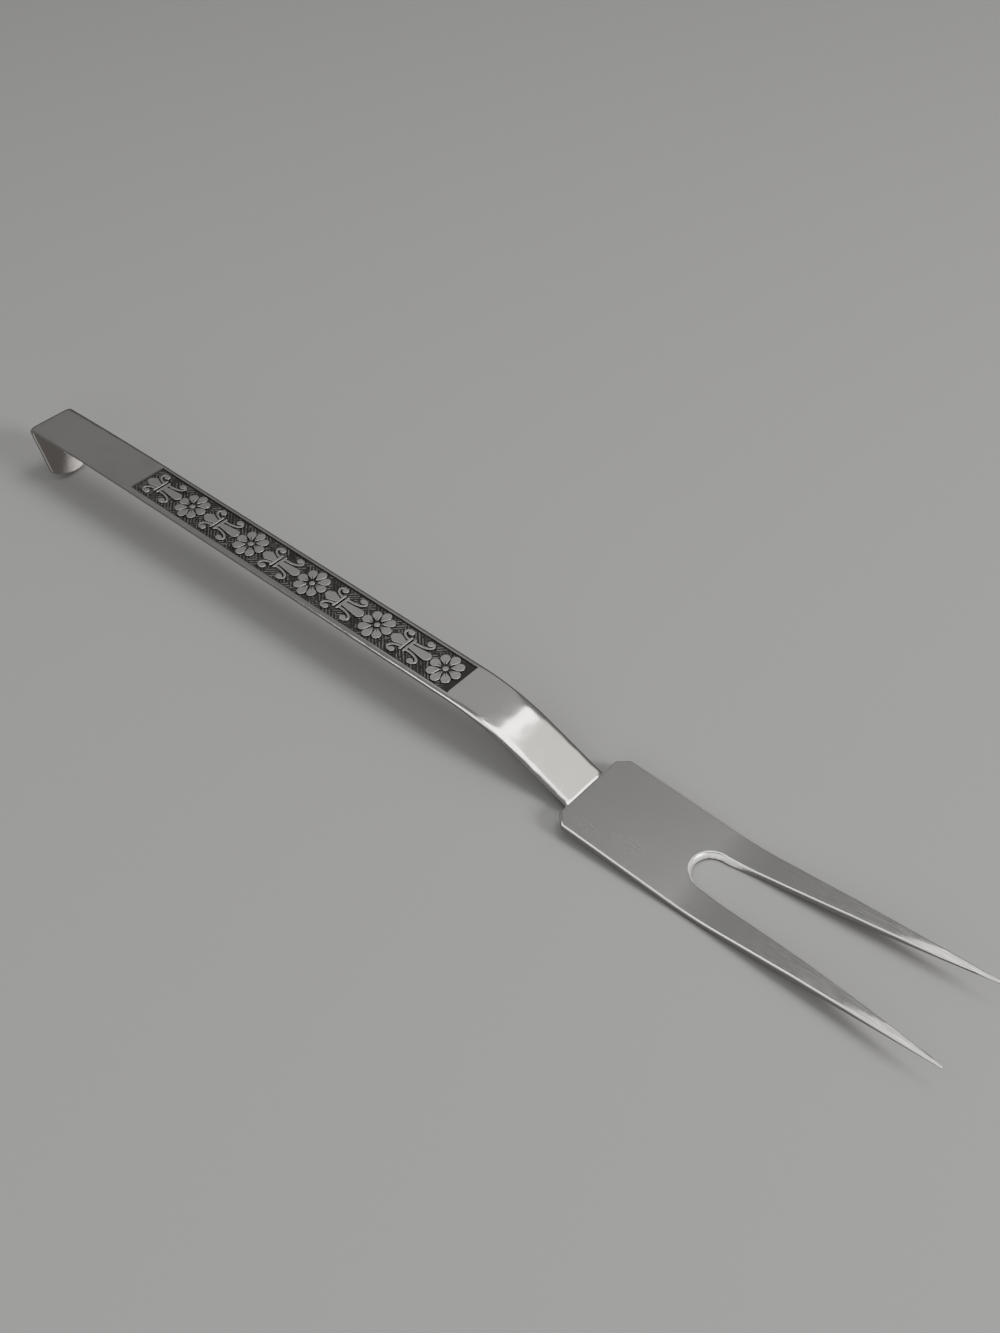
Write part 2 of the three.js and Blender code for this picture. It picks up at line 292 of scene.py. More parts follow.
# %% [markdown]
# ## Side views
# Both sheets are cut flat and then bent, so each has a side view made of runs: a length, the slope where
# it starts and the slope where it ends. A drawn curve could be traced by eye, but runs keep every bend at
# its true radius. Here the plate comes first, because the strap's lap follows its underside.

# %% Side view of the plate
PLATE_THICKNESS = 1.9 * MM
HEAD_LENGTH = 108 * MM
HEAD_TILT = math.radians(4.1)
PLATE_FLAT = 35 * MM
TINE_BEND_RADIUS = 90 * MM
TINE_RISE = math.radians(5.2)
PATH_STEP = 0.1 * MM


def straight(length, slope):
    return length, slope, slope


def arc(radius, slope, end_slope):
    return radius * abs(end_slope - slope), slope, end_slope


def bend_line(start, sense, runs):
    """Points along a chain of runs, forwards (+1) or backwards (-1) along X."""
    points = [Vector(start)]
    for length, slope, end_slope in runs:
        count = math.ceil(length / PATH_STEP)
        for i in range(count):
            middle = slope + (end_slope - slope) * (i + 0.5) / count
            step = Vector((math.cos(middle), 0, math.sin(middle))) * length / count
            points.append(points[-1] + sense * step)
    return points


tine_arc = arc(TINE_BEND_RADIUS, -HEAD_TILT, TINE_RISE)
head_runs = [
    straight(PLATE_FLAT, -HEAD_TILT),
    tine_arc,
    straight(HEAD_LENGTH - PLATE_FLAT - tine_arc[0], TINE_RISE),
]
rear_height = TINE_BEND_RADIUS * (1 - math.cos(HEAD_TILT)) + PLATE_FLAT * math.sin(HEAD_TILT)
plate_rear = Vector((head_low.x, 0, rear_height))
head_line = bend_line(plate_rear, 1, head_runs)
print("plate's underside runs from", in_mm(head_line[0]), "to", in_mm(head_line[-1]))

# %% [markdown]
# The strap's side view starts at its lap under the plate and runs back to the hook. The tongue of the
# hook is just long enough to touch the table, so its length is worked out last.

# %% Side view of the strap
STRAP_WIDTH = 15 * MM
STRAP_THICKNESS = 1.6 * MM
LAP_LENGTH = 12 * MM
LAP_SETBACK = -0.39 * MM
LAP_GAP = 0.2 * MM
LAP_BEND_RADIUS = 7 * MM
SLOPE = math.radians(22.5)
SLOPE_LENGTH = 17.81 * MM
FRONT_BEND_RADIUS = 65 * MM
PANEL_SLOPE = math.radians(1.3)
FRONT_PLAIN = 0.5 * MM
REAR_PLAIN = 46.2 * MM
REAR_DIP = math.radians(0.9)
FOLD_RADIUS = 1.5 * MM
FLAP_SLOPE = math.radians(116.5)

REPEATS = 5
PITCH = 25.15 * MM
LILY_OFFSET = 13.75 * MM
PANEL_FRONT_MARGIN = 6.1 * MM
PANEL_REAR_MARGIN = 6.8 * MM
PANEL_LENGTH = PANEL_FRONT_MARGIN + PANEL_REAR_MARGIN + (REPEATS - 1) * PITCH + LILY_OFFSET

plate_down = Vector((-math.sin(HEAD_TILT), 0, -math.cos(HEAD_TILT)))
plate_along = Vector((math.cos(HEAD_TILT), 0, -math.sin(HEAD_TILT)))
lap_end = plate_rear + plate_along * LAP_LENGTH + plate_down * (LAP_GAP + STRAP_THICKNESS / 2)
front_runs = [
    straight(LAP_LENGTH + LAP_SETBACK, -HEAD_TILT),
    arc(LAP_BEND_RADIUS, -HEAD_TILT, -SLOPE),
    straight(SLOPE_LENGTH, -SLOPE),
    arc(FRONT_BEND_RADIUS, -SLOPE, -PANEL_SLOPE),
    straight(FRONT_PLAIN, -PANEL_SLOPE),
]
rear_runs = [
    straight(PANEL_LENGTH, -PANEL_SLOPE),
    (REAR_PLAIN, -PANEL_SLOPE, REAR_DIP),
    arc(FOLD_RADIUS, REAR_DIP, FLAP_SLOPE),
]
panel_front = bend_line(lap_end, -1, front_runs)[-1]
fold_end = bend_line(panel_front, -1, rear_runs)[-1]
FLAP_LENGTH = (fold_end.z - STRAP_THICKNESS / 2 * abs(math.cos(FLAP_SLOPE))) / math.sin(FLAP_SLOPE)
strap_runs = front_runs + rear_runs + [straight(FLAP_LENGTH, FLAP_SLOPE)]
strap_line = bend_line(lap_end, -1, strap_runs)
STRAP_LENGTH = sum(length for length, _, _ in strap_runs)
PANEL_START = sum(length for length, _, _ in front_runs)
PANEL_END = PANEL_START + PANEL_LENGTH
print("strap cut to", in_mm([STRAP_LENGTH]), "mm, tongue", in_mm([FLAP_LENGTH]), "mm")

# %% [markdown]
# ## The strap's blank
# The real strap is cut from flat strip. Its top is flat in the middle and rolled off softly along both
# edges, and its rear end is a rounded tongue. A cube gets lines cut along it, and then each line is
# lowered by the drop of the roll there. Modelling it flat keeps every line straight until the bends.

# %% Strap blank
ROLL_WIDTH = 2.5 * MM
ROLL_DROP = 0.45 * MM
ROLL_STEPS = 6
FLAT_STEPS = 4
TONGUE_BULGE = 3 * MM
PANEL_WIDTH = 12.2 * MM
STRAP_HALF = STRAP_WIDTH / 2
STRAP_TOP = STRAP_THICKNESS / 2
FLAT_HALF = STRAP_HALF - ROLL_WIDTH
PANEL_HALF = PANEL_WIDTH / 2
QUARTER_TURN = math.radians(90)

flat_lines = [FLAT_HALF * (i + 1) / FLAT_STEPS for i in range(FLAT_STEPS)]
roll_lines = [PANEL_HALF]
for i in range(1, ROLL_STEPS):
    roll_lines.append(FLAT_HALF + ROLL_WIDTH * math.sin(QUARTER_TURN * i / ROLL_STEPS))

strap = block("strap", (0, -STRAP_HALF, -STRAP_TOP), (STRAP_LENGTH, STRAP_HALF, STRAP_TOP))
cut(strap, 1, 0)
for line in flat_lines + roll_lines:
    cut(strap, 1, line)
    cut(strap, 1, -line)


def roll_fall(across):
    """How far the strap's top has fallen at a distance from its middle line."""
    share = min(1, max(0, across - FLAT_HALF) / ROLL_WIDTH)
    return ROLL_DROP * (1 - math.sqrt(1 - share ** 2))


for line in roll_lines + [STRAP_HALF]:
    pick(strap, "VERT", lambda v: near(abs(v.co.y), line) and near(v.co.z, STRAP_TOP))
    bpy.ops.transform.translate(value=(0, 0, -roll_fall(line)))
    done(strap)

tongue_radius = (STRAP_HALF ** 2 + TONGUE_BULGE ** 2) / (2 * TONGUE_BULGE)
for line in flat_lines + roll_lines + [STRAP_HALF]:
    pick(strap, "VERT", lambda v: near(abs(v.co.y), line) and near(v.co.x, STRAP_LENGTH))
    bpy.ops.transform.translate(value=(math.sqrt(tongue_radius ** 2 - line ** 2) - tongue_radius, 0, 0))
    done(strap)
print("blank:", len(strap.data.vertices), "corners, tongue radius", in_mm([tongue_radius]), "mm")

# %% [markdown]
# The panel is a shallow sunk field with sloping walls, as a roller leaves it. Cut lines fence it off, and
# an inset with depth sinks its faces. The long rims are then eased with a small bevel, because a dead
# sharp edge never catches the light as real metal does.

# %% Sunk panel
PANEL_DEPTH = 0.4 * MM
PANEL_WALL = 0.18 * MM
RIM_EASE = 0.12 * MM
FACING_UP = 0.9

cut(strap, 0, PANEL_START)
cut(strap, 0, PANEL_END)


def over_panel(spot, slack):
    along = PANEL_START - slack < spot.x < PANEL_END + slack
    return along and abs(spot.y) < PANEL_HALF + slack


def on_side_rim(edge):
    ends = [v.co for v in edge.verts]
    inside = all(over_panel(end, TOUCH) and end.z > STRAP_TOP - PANEL_DEPTH / 2 for end in ends)
    return inside and all(near(abs(end.y), PANEL_HALF) for end in ends)


pick(strap, "FACE", lambda f: f.normal.z > FACING_UP and over_panel(f.calc_center_median(), 0))
bpy.ops.mesh.inset(thickness=PANEL_WALL, depth=-PANEL_DEPTH, use_boundary=True)
rims = pick(strap, "EDGE", on_side_rim)
bpy.ops.mesh.bevel(offset=RIM_EASE, segments=2, affect="EDGES")
done(strap)
print("panel sunk, rim edges:", rims)

# %% [markdown]
# The underside's long edges and the end of the tongue are broken with small bevels too, as the real edges
# are tumbled smooth so that they don't cut the hand.

# %% Eased edges of the strap
EDGE_EASE = 0.25 * MM
END_EASE = 0.3 * MM
EASE_STEPS = 3
SHARP_TURN = math.radians(50)


def on_underside_edge(edge):
    return all(near(v.co.z, -STRAP_TOP) and near(abs(v.co.y), STRAP_HALF) for v in edge.verts)


def on_tongue_end(edge):
    ends = [v.co for v in edge.verts]
    past_side = all(end.x > STRAP_LENGTH - TONGUE_BULGE - TOUCH for end in ends)
    across = abs(ends[0].y - ends[1].y) > TOUCH
    return past_side and across and edge.calc_face_angle(0) > SHARP_TURN


underside_edges = pick(strap, "EDGE", on_underside_edge)
bpy.ops.mesh.bevel(offset=EDGE_EASE, segments=EASE_STEPS, affect="EDGES")
tongue_edges = pick(strap, "EDGE", on_tongue_end)
bpy.ops.mesh.bevel(offset=END_EASE, segments=EASE_STEPS, affect="EDGES")
done(strap)
print("eased edges: underside", underside_edges, "tongue", tongue_edges)

# %% [markdown]
# A press leaves a shallow round dent under each spot weld, where the electrode stood. Two large balls cut
# them out of the lap's underside, which gives a true shallow bowl.

# %% Weld dents under the lap
WELD_SPACING = 7 * MM
DENT_RADIUS = 1.7 * MM
DENT_BALL = 9 * MM
BALL_FINENESS = 6

ball_drop = math.sqrt(DENT_BALL ** 2 - DENT_RADIUS ** 2)
for side in (-1, 1):
    deselect_all()
    spot = (LAP_LENGTH / 2, side * WELD_SPACING / 2, -STRAP_TOP - ball_drop)
    bpy.ops.mesh.primitive_ico_sphere_add(subdivisions=BALL_FINENESS, radius=DENT_BALL, location=spot)
    settle()
    combine(strap, bpy.context.object, "DIFFERENCE")
print("dents", in_mm([DENT_BALL - ball_drop]), "mm deep")

# %% [markdown]
# ## The panel's ornament
# Rosettes and lilies stand up from the panel's floor, level with its rims. They are old common border
# motifs. Each form is the outline of a string pulled round a few discs: upright cylinders are added in one
# mesh, a convex hull wraps them, and the top edge is eased as a pressed form's edge is.

# %% Helper for a raised form
FORM_SINK = 0.15 * MM
DISC_SIDES = 28
FLAT_TURN = math.radians(1)
panel_floor = STRAP_TOP - PANEL_DEPTH
form_low = panel_floor - FORM_SINK
form_middle = (form_low + STRAP_TOP) / 2


def add_disc(x, y, radius):
    """Adds an upright disc that reaches from under the panel's floor up to the level of its rims."""
    depth = STRAP_TOP - form_low
    spot = (x, y, form_middle)
    bpy.ops.mesh.primitive_cylinder_add(vertices=DISC_SIDES, radius=radius, depth=depth, location=spot)


def raised_form(name, discs, ease=0):
    """Wraps upright discs, each an x, a y and a radius, in one form, whose top edges can be eased."""
    deselect_all()
    add_disc(*discs[0])
    form = bpy.context.object
    form.name = name
    bpy.ops.object.mode_set(mode="EDIT")
    for disc in discs[1:]:
        add_disc(*disc)
    bpy.ops.mesh.select_all(action="SELECT")
    bpy.ops.mesh.convex_hull()
    bpy.ops.mesh.dissolve_limited(angle_limit=FLAT_TURN)
    done(form)
    settle()
    if ease:
        pick(form, "EDGE", lambda edge: all(near(v.co.z, STRAP_TOP) for v in edge.verts))
        bpy.ops.mesh.bevel(offset=ease, segments=EASE_STEPS, affect="EDGES")
    return done(form)


print("raised forms reach", in_mm([STRAP_TOP - form_low]), "mm, with", DISC_SIDES, "sides to a disc")

# %% [markdown]
# A rosette is one petal turned eight times round a domed boss. The petal is modelled once, with a short
# vein cut into its root, and copied in edit mode, each copy turned by an eighth about the middle.

# %% Rosette
PETALS = 8
PETAL_TIP = 5.3 * MM
PETAL_RADIUS = 1.4 * MM
PETAL_ROOT = 1.5 * MM
PETAL_ROOT_RADIUS = 0.32 * MM
PETAL_EASE = 0.12 * MM
VEIN_RADIUS = 0.13 * MM
VEIN_TIP = 2.9 * MM
VEIN_END_RADIUS = 0.05 * MM
BOSS_RADIUS = 0.9 * MM
BOSS_EASE = 0.25 * MM
ROSETTE_STRETCH = (0.95, 1.04, 1)

petal_end = (PETAL_TIP - PETAL_RADIUS, 0, PETAL_RADIUS)
petal_start = (PETAL_ROOT + PETAL_ROOT_RADIUS, 0, PETAL_ROOT_RADIUS)
rosette = raised_form("rosette", [petal_end, petal_start], PETAL_EASE)
vein = raised_form("vein", [(PETAL_ROOT, 0, VEIN_RADIUS), (VEIN_TIP, 0, VEIN_END_RADIUS)])
bpy.ops.transform.translate(value=(0, 0, FORM_SINK / 2))
settle()
combine(rosette, vein, "DIFFERENCE")
pick_all(rosette)
for _ in range(PETALS - 1):
    bpy.ops.mesh.duplicate()
    bpy.ops.transform.rotate(value=2 * math.pi / PETALS, orient_axis="Z", center_override=(0, 0, 0))
done(rosette)
combine(rosette, raised_form("boss", [(0, 0, BOSS_RADIUS)], BOSS_EASE), "UNION")
pick_all(rosette)
bpy.ops.transform.resize(value=ROSETTE_STRETCH, center_override=(0, 0, 0))
done(rosette)
print("rosette:", len(rosette.data.polygons), "faces")

# %% [markdown]
# A lily has a fan-shaped petal towards the hook, a long club towards the tines, two bars that bind them,
# and four scrolls that end in small balls. The scrolls are Bezier curves with a round bevel, made into
# meshes, because a curve bends more evenly than an extruded edge. One half is modelled and then mirrored.

# %% Lily bars, fan and club
BAR_RADIUS = 0.4 * MM
BAR_LENGTH = 5.5 * MM
BAR_PLACE = 0.7 * MM
FORM_EASE = 0.13 * MM
FAN_START = 1.25 * MM
FAN_FLARE = 3.9 * MM
FAN_TIP = 5.85 * MM
FAN_WIDTH = 3.6 * MM
CLUB_TIP = 8.4 * MM
CLUB_WIDTH = 3 * MM
NECK_RADIUS = 0.3 * MM
FLARE_RADIUS = 0.65 * MM

bar_end = BAR_LENGTH / 2 - BAR_RADIUS
bar_discs = [(BAR_PLACE, -bar_end, BAR_RADIUS), (BAR_PLACE, bar_end, BAR_RADIUS)]
flare = FAN_WIDTH / 2 - FLARE_RADIUS
fan_tip_radius = FAN_WIDTH / 3
fan_discs = [(FAN_TIP - fan_tip_radius, 0, fan_tip_radius)]
club_radius = CLUB_WIDTH / 2
club_discs = [(club_radius - CLUB_TIP, 0, club_radius)]
for side in (-1, 1):
    neck = side * 2 * NECK_RADIUS
    fan_discs += [(FAN_START, neck, NECK_RADIUS), (FAN_FLARE, side * flare, FLARE_RADIUS)]
    club_discs.append((-FAN_START, neck, NECK_RADIUS))

lily = raised_form("lily", fan_discs, FORM_EASE)
combine(lily, raised_form("club", club_discs, FORM_EASE), "UNION")
for side in (-1, 1):
    placed = [(side * x, y, radius) for x, y, radius in bar_discs]
    combine(lily, raised_form("bar", placed, FORM_EASE), "UNION")
print("lily without scrolls:", len(lily.data.polygons), "faces")

# %% Helper for a stem
STEM_RADIUS = 0.42 * MM
STEM_HEIGHT = 0.3 * MM
STEM_STEPS = 14
STEM_ROUNDNESS = 3


def stem(name, guides):
    """A round stem along a Bezier curve with four guide points in millimetres."""
    deselect_all()
    bpy.ops.curve.primitive_bezier_curve_add(location=(0, 0, 0))
    form = bpy.context.object
    form.name = name
    form.data.bevel_depth = STEM_RADIUS
    form.data.bevel_resolution = STEM_ROUNDNESS
    form.data.resolution_u = STEM_STEPS
    form.data.use_fill_caps = True
    start, leave, arrive, end = [(x * MM, y * MM, STRAP_TOP - STEM_HEIGHT) for x, y in guides]
    first, last = form.data.splines[0].bezier_points
    for point in (first, last):
        point.handle_left_type = "FREE"
        point.handle_right_type = "FREE"
    first.co, first.handle_right, first.handle_left = start, leave, start
    last.co, last.handle_left, last.handle_right = end, arrive, end
    bpy.ops.object.convert(target="MESH")
    pick(form, "VERT", lambda v: True)
    bpy.ops.mesh.remove_doubles(threshold=TOUCH)
    bpy.ops.mesh.normals_make_consistent(inside=False)
    return done(form)


print("stems are", in_mm([2 * STEM_RADIUS]), "mm thick")

# %% Lily scrolls
BALL_RADIUS = 1 * MM
BALL_EASE = 0.2 * MM
FAN_STEM = [(1.0, 1.65), (3.2, 1.75), (5.2, 3.9), (2.6, 4.75)]
FAN_BALL = (2.2, 4.05)
CLUB_STEM = [(-1.0, 1.75), (-5.2, 1.6), (-7.6, 3.4), (-5.3, 4.7)]
CLUB_BALL = (-4.65, 4.15)
SHAVER_HALF = 12 * MM


def scroll(guides, ball):
    """A stem with the small ball that its end curls round, shaved flat on top."""
    x, y = ball
    curl = raised_form("curl", [(x * MM, y * MM, BALL_RADIUS)], BALL_EASE)
    whole = combine(stem("stem", guides), curl, "UNION")
    shaver = block("shaver", (-SHAVER_HALF, -SHAVER_HALF, STRAP_TOP), (SHAVER_HALF, SHAVER_HALF, SHAVER_HALF))
    return combine(whole, shaver, "DIFFERENCE")


for guides, ball in ((FAN_STEM, FAN_BALL), (CLUB_STEM, CLUB_BALL)):
    near_scroll = scroll(guides, ball)
    far_scroll = copy_of(near_scroll)
    pick_all(far_scroll)
    bpy.ops.transform.resize(value=(1, -1, 1), center_override=(0, 0, 0))
    bpy.ops.mesh.normals_make_consistent(inside=False)
    done(far_scroll)
    combine(lily, near_scroll, "UNION")
    combine(lily, far_scroll, "UNION")
print("lily:", len(lily.data.polygons), "faces")

# %% [markdown]
# The two motifs are copied along the panel at one even pitch, and each copy is joined to the strap. The
# strap is still flat here, so the copies only have to be slid along it.

# %% Ornament joined to the strap
for i in range(REPEATS):
    rosette_place = PANEL_START + PANEL_FRONT_MARGIN + i * PITCH
    for motif, place in ((rosette, rosette_place), (lily, rosette_place + LILY_OFFSET)):
        placed = copy_of(motif)
        bpy.ops.transform.translate(value=(place, 0, 0))
        settle()
        combine(strap, placed, "UNION")
for motif in (rosette, lily):
    bpy.data.objects.remove(motif)
print("strap with ornament:", len(strap.data.polygons), "faces")

# %% [markdown]
# ## Bending the strap
# On a press brake the flat strap is bent over bars. In Blender a Curve modifier does that: it wraps the
# blank along the side view. The sheet can only turn where it has edges, so lines are cut across it first,
# close together in the sharp fold and further apart in the long bends.

# %% Helpers for bending
FOLD_TURN = math.radians(5)
BEND_TURN = math.radians(1)
SHARP_RADIUS = 10 * MM
SPARE_STEPS = 2


def turn_stations(runs):
    """Distances along a blank where it has to have a line of edges."""
    stations, travelled = [], 0
    for length, slope, end_slope in runs:
        turn = abs(end_slope - slope)
        if turn:
            step = FOLD_TURN if length / turn < SHARP_RADIUS else BEND_TURN
            count = math.ceil(turn / step) + SPARE_STEPS
            stations += [travelled + length * i / count for i in range(count + 1)]
        travelled += length
    return stations


def bend(piece, points, stations):
    """Cuts a blank at its stations and wraps it along a line of points."""
    for station in stations:
        cut(piece, 0, station)
    line = bpy.data.curves.new("side_view", "CURVE")
    line.dimensions = "3D"
    line.twist_mode = "MINIMUM"
    spline = line.splines.new("POLY")
    spline.points.add(len(points) - 1)
    for spot, point in zip(spline.points, points):
        spot.co = (*point, 1)
    guide = bpy.data.objects.new("side_view", line)
    bpy.context.collection.objects.link(guide)
    modify(piece, "CURVE", object=guide, deform_axis="POS_X")
    bpy.data.objects.remove(guide)
    return piece


print("helpers ready: turn_stations and bend")

# %% Helper for shading
CRISP_TURN = math.radians(40)


def shade(piece):
    """Smooth shading that stays crisp at sharp turns, with flats that stay flat."""
    choose(piece)
    bpy.ops.object.shade_smooth_by_angle(angle=CRISP_TURN)
    modify(piece, "WEIGHTED_NORMAL", keep_sharp=True)


# %% Bends of the strap
bend(strap, strap_line, turn_stations(strap_runs))
shade(strap)
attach(strap, "root")
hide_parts("handle_strap")

# %% [markdown]
# ## The fork's head
# The head is one plate. On the bench its outline is blanked with a press tool: two clipped corners at the
# rear, a round slot root and two tines that taper to points. A cube gives the plate. A block cuts the mouth
# of the slot out of it, and a cylinder and a cone cut the root, where the slot's wall leans outwards. The
# lean fades out along the tines by a curve that is level at both ends, so that no kink shows.

# %% Plate and slot shape
HEAD_WIDTH = 28.5 * MM
CORNER_CLIP = 3 * MM
SLOT_ROOT = 33 * MM
SLOT_RADIUS = 6.1 * MM
SLOT_FLARE = 0.85 * MM
FLARE_END = 0.2
FLARE_FOOT = 0.65 * MM
TINE_MID_WIDTH = 5.15 * MM
TIP_RADIUS = 0.35 * MM
HEAD_HALF = HEAD_WIDTH / 2

slot_centre = SLOT_ROOT + SLOT_RADIUS
tip_line = HEAD_LENGTH - TIP_RADIUS
half_at_middle = HEAD_HALF - TINE_MID_WIDTH
half_at_tip = HEAD_HALF - 2 * TIP_RADIUS
half_guide = 2 * half_at_middle - (SLOT_RADIUS + half_at_tip) / 2


def slot_half(share, height):
    """Half the slot's width, at a share of the way from its root's centre to the tips and at a height."""
    rest = 1 - share
    top = rest ** 2 * SLOT_RADIUS + 2 * share * rest * half_guide + share ** 2 * half_at_tip
    fade = 1 - min(1, share / FLARE_END)
    flare = SLOT_FLARE * fade ** 3 * (4 - 3 * fade)
    return top - flare * min(1, (PLATE_THICKNESS - height) / (PLATE_THICKNESS - FLARE_FOOT))


def is_upright(edge):
    a, b = (v.co for v in edge.verts)
    return near(a.x, b.x) and near(a.y, b.y)


head = block("head", (0, -HEAD_HALF, 0), (HEAD_LENGTH, HEAD_HALF, PLATE_THICKNESS))
pick(head, "EDGE", lambda edge: is_upright(edge) and near(edge.verts[0].co.x, 0))
bpy.ops.mesh.bevel(offset=CORNER_CLIP, segments=1, affect="EDGES")
done(head)
print("slot half width", in_mm([slot_half(0, 0), slot_half(0, PLATE_THICKNESS)]), "mm below and above")

# %% Slot cutters
SLOT_STEPS = 32
SLOT_SIDES = 96
STATION_BIAS = 1.5
CUTTER_REACH = 0.5 * MM
SLOT_MERGE = 0.03 * MM

cutter_low = -CUTTER_REACH
cutter_high = PLATE_THICKNESS + CUTTER_REACH
mouth_low = (slot_centre, -SLOT_RADIUS, cutter_low)
mouth_high = (HEAD_LENGTH + CUTTER_REACH, SLOT_RADIUS, cutter_high)
mouth = block("slot_mouth", mouth_low, mouth_high)
shares = [(i / SLOT_STEPS) ** STATION_BIAS for i in range(SLOT_STEPS + 1)]
stations = [slot_centre + (tip_line - slot_centre) * share for share in shares]
for station in stations[1:]:
    cut(mouth, 0, station)
cut(mouth, 2, FLARE_FOOT)
for station in stations + [HEAD_LENGTH + CUTTER_REACH]:
    share = min(1, (station - slot_centre) / (tip_line - slot_centre))
    for level in (cutter_low, FLARE_FOOT, cutter_high):
        pick(mouth, "VERT", lambda v: near(v.co.x, station) and near(v.co.z, level))
        wider = slot_half(share, level) / SLOT_RADIUS
        bpy.ops.transform.resize(value=(1, wider, 1), center_override=(station, 0, level))
        done(mouth)
combine(head, mouth, "DIFFERENCE")

foot_radius = slot_half(0, FLARE_FOOT)
root_cuts = ((cutter_low, PLATE_THICKNESS, foot_radius), (FLARE_FOOT, cutter_high, slot_half(0, cutter_high)))
for low, high, radius in root_cuts:
    deselect_all()
    root_form = {"radius1": foot_radius, "radius2": radius, "depth": high - low}
    root_spot = (slot_centre, 0, (low + high) / 2)
    bpy.ops.mesh.primitive_cone_add(vertices=SLOT_SIDES, location=root_spot, **root_form)
    settle()
    combine(head, bpy.context.object, "DIFFERENCE")
pick(head, "VERT", lambda v: True)
bpy.ops.mesh.remove_doubles(threshold=SLOT_MERGE)
done(head)
print("head outline:", len(head.data.vertices), "corners")

# %% [markdown]
# The tines are rounded at their ends and then ground thinner towards them, on top only. A slanted bisect
# with a fill does the grinding in one stroke, as a belt would.

# %% Points and grind
TIP_EASE = 0.33 * MM
TIP_STEPS = 4
GRIND_LENGTH = 38 * MM
TIP_THICKNESS = 0.9 * MM

pick(head, "EDGE", lambda edge: is_upright(edge) and edge.verts[0].co.x > HEAD_LENGTH - TOUCH)
bpy.ops.mesh.bevel(offset=TIP_EASE, segments=TIP_STEPS, affect="EDGES")
done(head)

grind_start = HEAD_LENGTH - GRIND_LENGTH
grind_corner = (grind_start, 0, PLATE_THICKNESS)
grind_normal = Vector((PLATE_THICKNESS - TIP_THICKNESS, 0, GRIND_LENGTH)).normalized()
pick_all(head)
bpy.ops.mesh.bisect(plane_co=grind_corner, plane_no=grind_normal, use_fill=True, clear_outer=True)
done(head)
for station in stations[1:]:
    cut(head, 0, station)
print("tines ground over", in_mm([GRIND_LENGTH]), "mm")

# %% [markdown]
# A second stroke of the belt left a facet on each tine. It starts at the side nearest the camera and widens
# until it takes the whole point. Three corners give the plane of each facet, and only the faces of one tine
# are cut by it.

# %% Facets of the points
FACET_LENGTH = 29 * MM
FACET_FULL = 12 * MM
FACET_DROP = 0.24 * MM


def top_at(x):
    """The height of the ground top, at a place along the tines."""
    ground_share = max(0, x - grind_start) / GRIND_LENGTH
    return PLATE_THICKNESS - ground_share * (PLATE_THICKNESS - TIP_THICKNESS)


def tine_sides(side, x):
    """Where the near and the far side of a tine are, at a place along it."""
    inner = slot_half((x - slot_centre) / (tip_line - slot_centre), PLATE_THICKNESS)
    return (inner, HEAD_HALF) if side > 0 else (-HEAD_HALF, -inner)


def on_tine(face, side):
    middle = face.calc_center_median()
    return middle.x > stations[1] and middle.y * side > 0


facet_start = HEAD_LENGTH - FACET_LENGTH
facet_full = HEAD_LENGTH - FACET_FULL
for side in (-1, 1):
    near_side, far_side = tine_sides(side, facet_full)
    first = Vector((facet_start, tine_sides(side, facet_start)[0], top_at(facet_start)))
    lowest = Vector((facet_full, near_side, top_at(facet_full) - FACET_DROP))
    highest = Vector((facet_full, far_side, top_at(facet_full)))
    facet_normal = (lowest - first).cross(highest - first).normalized()
    pick(head, "FACE", lambda face: on_tine(face, side))
    bpy.ops.mesh.bisect(plane_co=first, plane_no=facet_normal, use_fill=True, clear_outer=True)
    done(head)
print("facets start at", in_mm(first), "mm and drop", in_mm([FACET_DROP]), "mm")

# %% [markdown]
# Last, every edge of the outline is rounded by a Bevel modifier. Its width follows each edge's bevel
# weight, so that the slot and the points keep their shape.

# %% Eased outline of the head
TOP_EASE = 0.55 * MM
UNDER_EASE = 0.2 * MM
SLOT_EASE = 0.45 * MM
POINT_EASE = 0.25 * MM
TINE_EASE = 0.28
SHARE_DIGITS = 2
OUTLINE_TURN = math.radians(40)


def on_outline(edge):
    flat_sides = [abs(face.normal.z) > FACING_UP for face in edge.link_faces]
    return edge.calc_face_angle(0) > OUTLINE_TURN and any(flat_sides) and not all(flat_sides)


def ease_share(edge):
    """The share of the full ease that an edge gets: less in the slot, on narrow tines and underneath."""
    middle = (edge.verts[0].co + edge.verts[1].co) / 2
    if middle.z < TIP_THICKNESS / 2:
        return UNDER_EASE / TOP_EASE
    in_slot = middle.x > SLOT_ROOT and abs(middle.y) < HEAD_HALF - TOUCH
    share = min(1, max(0, middle.x - slot_centre) / (tip_line - slot_centre))
    tine_width = HEAD_HALF - slot_half(share, PLATE_THICKNESS)
    ease = min(SLOT_EASE if in_slot else TOP_EASE, max(POINT_EASE, TINE_EASE * tine_width))
    return round(ease / TOP_EASE, SHARE_DIGITS)


outline = pick(head, "EDGE", on_outline)
shape = bmesh.from_edit_mesh(head.data)
shares = sorted({ease_share(edge) for edge in shape.edges if edge.select})
for share in shares:
    pick(head, "EDGE", lambda edge: on_outline(edge) and ease_share(edge) == share)
    bpy.ops.transform.edge_bevelweight(value=share)
done(head)

rounding = {"width": TOP_EASE, "segments": EASE_STEPS, "use_clamp_overlap": False}
modify(head, "BEVEL", limit_method="WEIGHT", **rounding)
print("eased outline edges:", outline, "in", len(shares), "widths up to", in_mm([TOP_EASE]), "mm")

# %% [markdown]
# The head is bent like the strap: its plate leans forward and the tines rise again past the bend.

# %% Bend of the head
bend(head, head_line, turn_stations(head_runs))
shade(head)
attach(head, "root")
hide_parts("fork_head")

